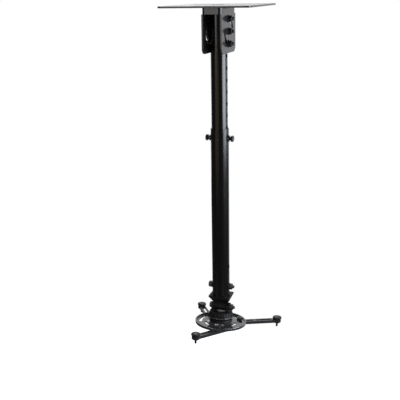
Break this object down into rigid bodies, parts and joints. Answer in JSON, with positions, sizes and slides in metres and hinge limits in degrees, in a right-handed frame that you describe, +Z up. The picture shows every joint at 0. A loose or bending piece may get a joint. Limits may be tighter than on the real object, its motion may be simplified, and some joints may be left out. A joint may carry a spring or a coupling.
{
  "type": "projector ceiling mount",
  "caption": "Black telescopic ceiling mount for a projector: square ceiling plate, tilting tube column, pitch and swivel head, slotted disc and adjustable arms with screw feet.",
  "frame": {"origin": "centre of the ceiling plate's upper face", "axes": "+Z up to the ceiling, X along the bracket's bolts, -Y towards the front"},
  "size_m": [0.1793, 0.1724, 0.6027],
  "materials": {
    "plate_coat": "black powder coat, satin",
    "tube_coat": "black powder coat, semi-gloss",
    "cast_coat": "black powder coat, satin",
    "fastener_black": "black zinc, satin",
    "washer_steel": "zinc plated, satin",
    "disc_coat": "black powder coat, satin",
    "arm_coat": "black powder coat, satin",
    "clamp_black": "black zinc, satin",
    "foot_plastic": "moulded, matte",
    "thumb_black": "black oxide, satin"
  },
  "bodies": {
    "ceiling": {"ceiling_plate": "plate_coat", "column_bracket": "plate_coat"},
    "column": {"upper_tube": "tube_coat", "pivot_bolt": "fastener_black", "lock_bolts": "fastener_black", "clevis_nuts": "fastener_black", "clevis_washers": "fastener_black"},
    "lower_column": {"lower_tube": "tube_coat", "weld_nuts": "tube_coat", "front_set_screw": "fastener_black", "tilt_block": "cast_coat", "block_bolt": "fastener_black", "block_washers": "fastener_black", "block_nut": "fastener_black"},
    "lock_left": {"height_screw_left": "fastener_black"},
    "lock_right": {"height_screw_right": "fastener_black"},
    "yoke": {"swivel_yoke": "cast_coat", "pitch_bolt": "fastener_black", "pitch_washers": "fastener_black", "pitch_nut": "fastener_black", "swivel_bolt": "fastener_black", "swivel_nut": "fastener_black", "swivel_washer": "washer_steel"},
    "turntable": {"disc": "disc_coat", "swivel_collar": "cast_coat"},
    "clamp_1": {"clamp_screw_1": "clamp_black", "clamp_washer_1": "clamp_black"},
    "slider_1": {"slider_nut_1": "clamp_black"},
    "foot_arm_1": {"arm_1": "arm_coat", "foot_sleeve_1": "foot_plastic"},
    "thumb_1": {"thumb_screw_1": "thumb_black"},
    "clamp_2": {"clamp_screw_2": "clamp_black", "clamp_washer_2": "clamp_black"},
    "slider_2": {"slider_nut_2": "clamp_black"},
    "foot_arm_2": {"arm_2": "arm_coat", "foot_sleeve_2": "foot_plastic"},
    "thumb_2": {"thumb_screw_2": "thumb_black"},
    "clamp_3": {"clamp_screw_3": "clamp_black", "clamp_washer_3": "clamp_black"},
    "slider_3": {"slider_nut_3": "clamp_black"},
    "foot_arm_3": {"arm_3": "arm_coat", "foot_sleeve_3": "foot_plastic"},
    "thumb_3": {"thumb_screw_3": "thumb_black"}
  },
  "joints": [
    {"name": "column_tilt", "type": "hinge", "parent": "ceiling", "child": "column", "pos_m": [0, 0, -0.042], "axis": [-1, 0, 0], "range_deg": [0, 90]},
    {"name": "height", "type": "slide", "parent": "column", "child": "lower_column", "axis": [0, 0, -1], "range_m": [-0.1, 0.1]},
    {"name": "lock_left_in", "type": "slide", "parent": "lower_column", "child": "lock_left", "axis": [1, 0, 0], "range_m": [0, 0.003]},
    {"name": "lock_right_in", "type": "slide", "parent": "lower_column", "child": "lock_right", "axis": [-1, 0, 0], "range_m": [0, 0.003]},
    {"name": "pitch", "type": "hinge", "parent": "lower_column", "child": "yoke", "pos_m": [0, 0, -0.5445], "axis": [1, 0, 0], "range_deg": [-12, 28]},
    {"name": "swivel", "type": "hinge", "parent": "yoke", "child": "turntable", "pos_m": [0, -0.00426, -0.5748], "axis": [0, 0.1392, 0.9903], "continuous": true},
    {"name": "orbit_1", "type": "hinge", "parent": "turntable", "child": "clamp_1", "pos_m": [0, -0.00426, -0.5748], "axis": [0, 0.1392, 0.9903], "range_deg": [-25, 43]},
    {"name": "swing_1", "type": "hinge", "parent": "clamp_1", "child": "slider_1", "pos_m": [0.02953, 0.01903, -0.5809], "axis": [0, 0.1392, 0.9903], "range_deg": [-25, 25]},
    {"name": "reach_1", "type": "slide", "parent": "slider_1", "child": "foot_arm_1", "axis": [0.8387, 0.5393, -0.0758], "range_m": [-0.026, 0.002]},
    {"name": "thumb_turn_1", "type": "hinge", "parent": "foot_arm_1", "child": "thumb_1", "pos_m": [0.09327, 0.06002, -0.58666], "axis": [0, 0.1392, 0.9903], "continuous": true},
    {"name": "orbit_2", "type": "hinge", "parent": "turntable", "child": "clamp_2", "pos_m": [0, -0.00426, -0.5748], "axis": [0, 0.1392, 0.9903], "range_deg": [-8, 60]},
    {"name": "swing_2", "type": "hinge", "parent": "clamp_2", "child": "slider_2", "pos_m": [-0.02994, 0.01852, -0.58083], "axis": [0, 0.1392, 0.9903], "range_deg": [-25, 25]},
    {"name": "reach_2", "type": "slide", "parent": "slider_2", "child": "foot_arm_2", "axis": [-0.5736, 0.8112, -0.114], "range_m": [-0.013, 0.015]},
    {"name": "thumb_turn_2", "type": "hinge", "parent": "foot_arm_2", "child": "thumb_2", "pos_m": [-0.06608, 0.06962, -0.58801], "axis": [0, 0.1392, 0.9903], "continuous": true},
    {"name": "orbit_3", "type": "hinge", "parent": "turntable", "child": "clamp_3", "pos_m": [0, -0.00426, -0.5748], "axis": [0, 0.1392, 0.9903], "range_deg": [-28, 40]},
    {"name": "swing_3", "type": "hinge", "parent": "clamp_3", "child": "slider_3", "pos_m": [0.0079, -0.04146, -0.5724], "axis": [0, 0.1392, 0.9903], "range_deg": [-25, 25]},
    {"name": "reach_3", "type": "slide", "parent": "slider_3", "child": "foot_arm_3", "axis": [-0.515, -0.8488, 0.1193], "range_m": [-0.002, 0.026]},
    {"name": "thumb_turn_3", "type": "hinge", "parent": "foot_arm_3", "child": "thumb_3", "pos_m": [-0.01888, -0.0856, -0.5662], "axis": [0, 0.1392, 0.9903], "continuous": true}
  ]
}
